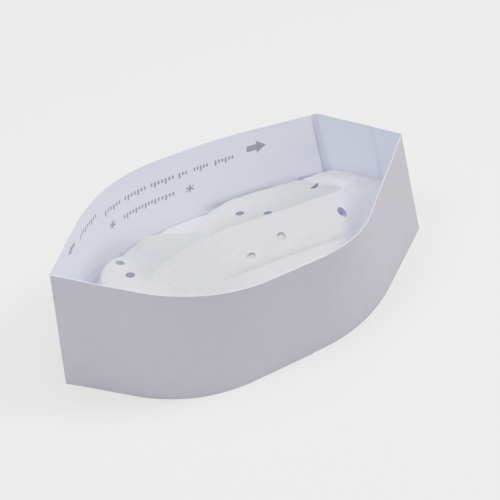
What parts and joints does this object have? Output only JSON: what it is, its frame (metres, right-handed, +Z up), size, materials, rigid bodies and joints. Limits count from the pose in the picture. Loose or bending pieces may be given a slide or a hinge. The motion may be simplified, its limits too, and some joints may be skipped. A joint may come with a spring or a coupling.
{
  "type": "disposable chef cap",
  "caption": "Disposable white paper forage cap with a crepe tissue crown and a slide-to-fit back, standing on its crown edge with the head opening up.",
  "frame": {"origin": "centre of the footprint, on the floor", "axes": "+X along the cap from the front fold to the pull-out back, +Y towards the printed side wall, +Z up through the head opening"},
  "size_m": [0.2587, 0.1192, 0.09],
  "materials": {
    "band_paper": "smooth white bond paper, faint grain",
    "crown_tissue": "soft white crepe tissue, slightly see-through",
    "glue": "dried clear-white glue film"
  },
  "bodies": {
    "band": {"front_band": "band_paper", "crown_tissue": "crown_tissue", "crown_glue_left": "glue", "crown_glue_right": "glue"},
    "rear": {"rear_panel_right": "band_paper", "rear_panel_left": "band_paper", "rear_tab_glue": "glue", "crown_glue_rear": "glue"}
  },
  "joints": [
    {"name": "size_slide", "type": "slide", "parent": "band", "child": "rear", "axis": [1, 0, 0], "range_m": [0, 0.025]}
  ]
}
